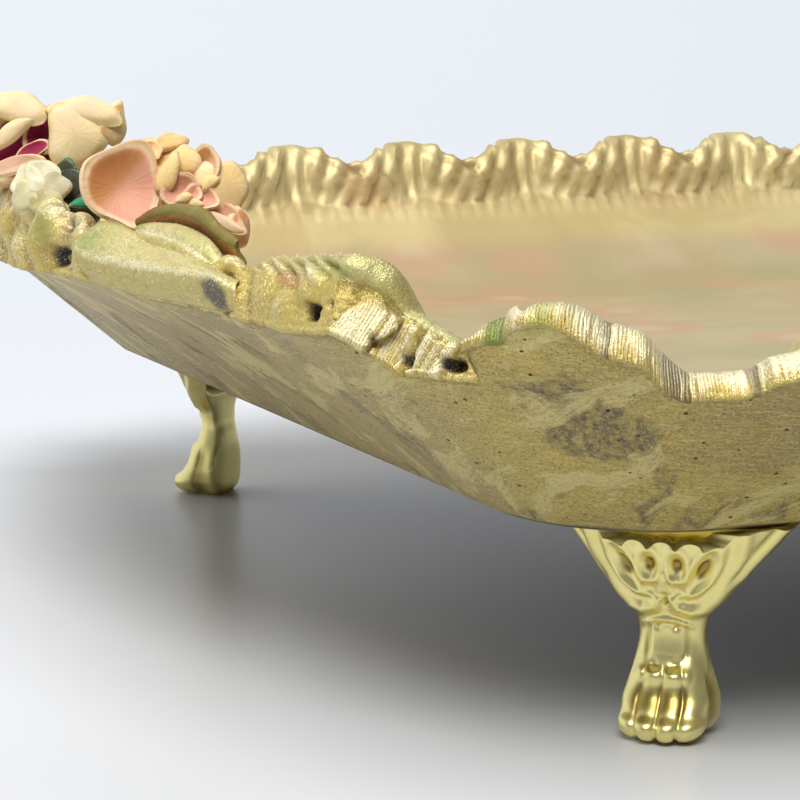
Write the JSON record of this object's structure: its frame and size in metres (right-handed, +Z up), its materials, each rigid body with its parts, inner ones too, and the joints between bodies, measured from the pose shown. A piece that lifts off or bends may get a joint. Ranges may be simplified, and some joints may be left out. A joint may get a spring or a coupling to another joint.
{
  "type": "footed serving tray",
  "caption": "Footed rectangular serving tray with a gilded scalloped rim, painted rose sprays on both handle ends and plated paw feet.",
  "frame": {"origin": "on the table under the middle of the tray, level with the soles of the feet", "axes": "+X to one handle end along the long direction, +Y across the tray to the back, +Z up"},
  "size_m": [0.4678, 0.31, 0.0955],
  "materials": {
    "gilt_resin": "brushed antique gold paint with a dark patina",
    "plated_metal": "polished champagne gold plating",
    "screw_steel": "brass-washed steel",
    "burgundy_rose": "satin burgundy paint with cream petal edges",
    "peach_rose": "satin peach paint with cream petal edges",
    "cream_blossom": "satin cream paint",
    "green_leaf": "satin olive green paint",
    "gilt_leaf": "pale gold paint"
  },
  "bodies": {
    "root": {"tray_casting": "gilt_resin", "front_left_foot": "plated_metal", "front_left_foot_screw_1": "screw_steel", "front_left_foot_screw_2": "screw_steel", "front_right_foot": "plated_metal", "front_right_foot_screw_1": "screw_steel", "front_right_foot_screw_2": "screw_steel", "back_left_foot": "plated_metal", "back_left_foot_screw_1": "screw_steel", "back_left_foot_screw_2": "screw_steel", "back_right_foot": "plated_metal", "back_right_foot_screw_1": "screw_steel", "back_right_foot_screw_2": "screw_steel", "left_centre_rose": "burgundy_rose", "left_front_rose": "peach_rose", "left_front_blossom": "cream_blossom", "left_front_rose_leaf": "green_leaf", "left_front_gap_leaf": "green_leaf", "left_front_rim_leaf": "gilt_leaf", "left_back_rose": "peach_rose", "left_back_blossom": "cream_blossom", "left_back_rose_leaf": "green_leaf", "left_back_gap_leaf": "green_leaf", "left_back_rim_leaf": "gilt_leaf", "right_centre_rose": "burgundy_rose", "right_front_rose": "peach_rose", "right_front_blossom": "cream_blossom", "right_front_rose_leaf": "green_leaf", "right_front_gap_leaf": "green_leaf", "right_front_rim_leaf": "gilt_leaf", "right_back_rose": "peach_rose", "right_back_blossom": "cream_blossom", "right_back_rose_leaf": "green_leaf", "right_back_gap_leaf": "green_leaf", "right_back_rim_leaf": "gilt_leaf"}
  },
  "joints": []
}
